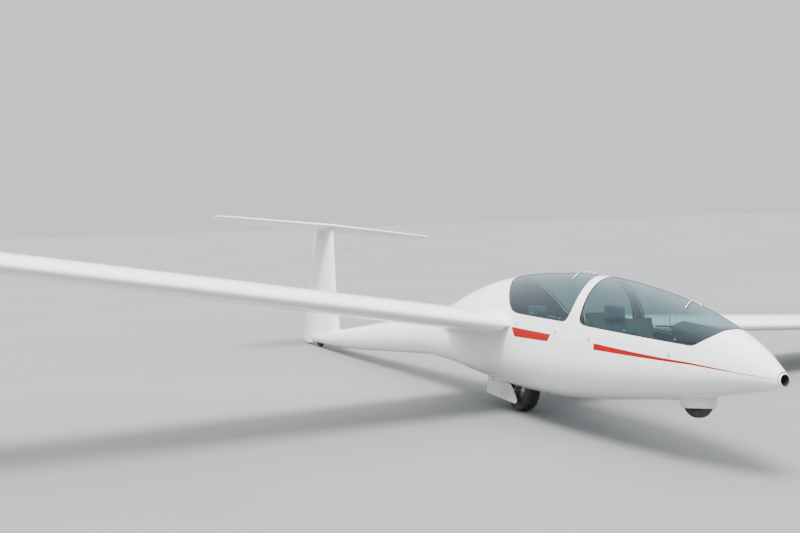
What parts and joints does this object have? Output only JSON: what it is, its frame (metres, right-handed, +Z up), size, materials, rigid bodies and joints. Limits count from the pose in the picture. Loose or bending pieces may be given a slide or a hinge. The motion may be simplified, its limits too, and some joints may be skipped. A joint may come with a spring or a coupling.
{
  "type": "two-seat sailplane glider",
  "caption": "Two-seat sailplane with a T-tail and two hinged tinted canopies, parked on main wheel, tail wheel and one wing tip.",
  "frame": {"origin": "middle of the overall box on the ground plane that the main tyre, the tail tyre and the port tip skid touch", "axes": "+X towards the nose, +Y towards the port wing tip, +Z up; the aircraft sits nose-up and leans to port"},
  "size_m": [8.6094, 19.8538, 2.5257],
  "materials": {
    "gelcoat": "polished white gelcoat with faint dirt",
    "glazing": "grey-green tinted acrylic",
    "liner": "flecked grey paint on laminate",
    "dark_panel": "matt near-black",
    "cloth": "dark woven upholstery",
    "tyre": "worn black tyre",
    "rubber": "scuffed black rubber",
    "alloy": "dull cast and turned alloy",
    "steel": "grey steel tube and plate"
  },
  "bodies": {
    "airframe": {"fuselage_pod": "gelcoat", "tail_boom": "gelcoat", "nose_ring": "gelcoat", "fin": "gelcoat", "tailplane": "gelcoat", "energy_probe": "alloy", "wing_left": "gelcoat", "wing_right": "gelcoat", "wing_tip_left": "gelcoat", "wing_tip_right": "gelcoat", "tip_skid_left": "rubber", "tip_skid_right": "rubber", "main_wheel_bay": "liner", "nose_wheel_bay": "liner", "main_leg": "steel", "nose_leg": "steel", "nose_wheel_fairing": "gelcoat", "gear_door_left": "gelcoat", "gear_door_right": "gelcoat", "floor_front": "liner", "floor_rear": "liner", "seat_front": "liner", "seat_rear": "liner", "cushion_front": "cloth", "cushion_rear": "cloth", "headrest_front": "cloth", "headrest_rear": "cloth", "panel_front": "dark_panel", "panel_rear": "dark_panel", "stick_front": "dark_panel", "stick_rear": "dark_panel", "pedals_front": "steel", "pedals_rear": "steel"},
    "main_wheel": {"main_tyre": "tyre", "main_rim": "alloy"},
    "nose_wheel": {"nose_tyre": "tyre", "nose_rim": "alloy"},
    "tail_wheel": {"tail_tyre": "tyre", "tail_rim": "alloy"},
    "rudder": {"rudder": "gelcoat"},
    "elevator": {"elevator": "gelcoat"},
    "aileron_left": {"aileron_left": "gelcoat"},
    "aileron_right": {"aileron_right": "gelcoat"},
    "airbrake_left": {"airbrake_left": "gelcoat"},
    "airbrake_right": {"airbrake_right": "gelcoat"},
    "canopy_front": {"canopy_front_frame": "gelcoat", "canopy_front_glass": "glazing"},
    "canopy_rear": {"canopy_rear_frame": "gelcoat", "canopy_rear_glass": "glazing"}
  },
  "joints": [
    {"name": "main_wheel_spin", "type": "hinge", "parent": "airframe", "child": "main_wheel", "pos_m": [1.40935, -0.13359, 0.19112], "axis": [0, 0.9924, -0.1234], "continuous": true},
    {"name": "nose_wheel_spin", "type": "hinge", "parent": "airframe", "child": "nose_wheel", "pos_m": [3.57108, -0.10008, 0.46067], "axis": [0, 0.9924, -0.1234], "continuous": true},
    {"name": "tail_wheel_spin", "type": "hinge", "parent": "airframe", "child": "tail_wheel", "pos_m": [-3.65111, -0.14496, 0.09959], "axis": [0, 0.9924, -0.1234], "continuous": true},
    {"name": "rudder_hinge", "type": "hinge", "parent": "airframe", "child": "rudder", "pos_m": [-3.92688, -0.1444, 0.10414], "axis": [-0.0761, 0.123, 0.9895], "range_deg": [-30, 30]},
    {"name": "elevator_hinge", "type": "hinge", "parent": "airframe", "child": "elevator", "pos_m": [-3.94818, 0.04467, 1.62509], "axis": [0, 0.9924, -0.1234], "range_deg": [-20, 25]},
    {"name": "aileron_left_hinge", "type": "hinge", "parent": "airframe", "child": "aileron_left", "pos_m": [0.73856, 5.3241, 0.32083], "axis": [0.0163, 0.9978, -0.0649], "range_deg": [-20, 20]},
    {"name": "aileron_right_hinge", "type": "hinge", "parent": "airframe", "child": "aileron_right", "pos_m": [0.73856, -5.39341, 1.65309], "axis": [0.0163, -0.9833, 0.1813], "range_deg": [-20, 20]},
    {"name": "airbrake_left_slide", "type": "slide", "parent": "airframe", "child": "airbrake_left", "axis": [-0.085, 0.1229, 0.9888], "range_m": [0, 0.11]},
    {"name": "airbrake_right_slide", "type": "slide", "parent": "airframe", "child": "airbrake_right", "axis": [-0.085, 0.1229, 0.9888], "range_m": [0, 0.11]},
    {"name": "canopy_front_hinge", "type": "hinge", "parent": "airframe", "child": "canopy_front", "pos_m": [3.53192, -0.36443, 0.81412], "axis": [0.9958, 0.0854, -0.0322], "range_deg": [0, 75]},
    {"name": "canopy_rear_hinge", "type": "hinge", "parent": "airframe", "child": "canopy_rear", "pos_m": [2.29518, -0.42377, 0.84835], "axis": [0.9995, -0.0265, -0.0184], "range_deg": [0, 70]}
  ],
  "couplings": [
    {"joint": "aileron_right_hinge", "follows": "aileron_left_hinge", "ratio": 1},
    {"joint": "airbrake_right_slide", "follows": "airbrake_left_slide", "ratio": 1}
  ]
}
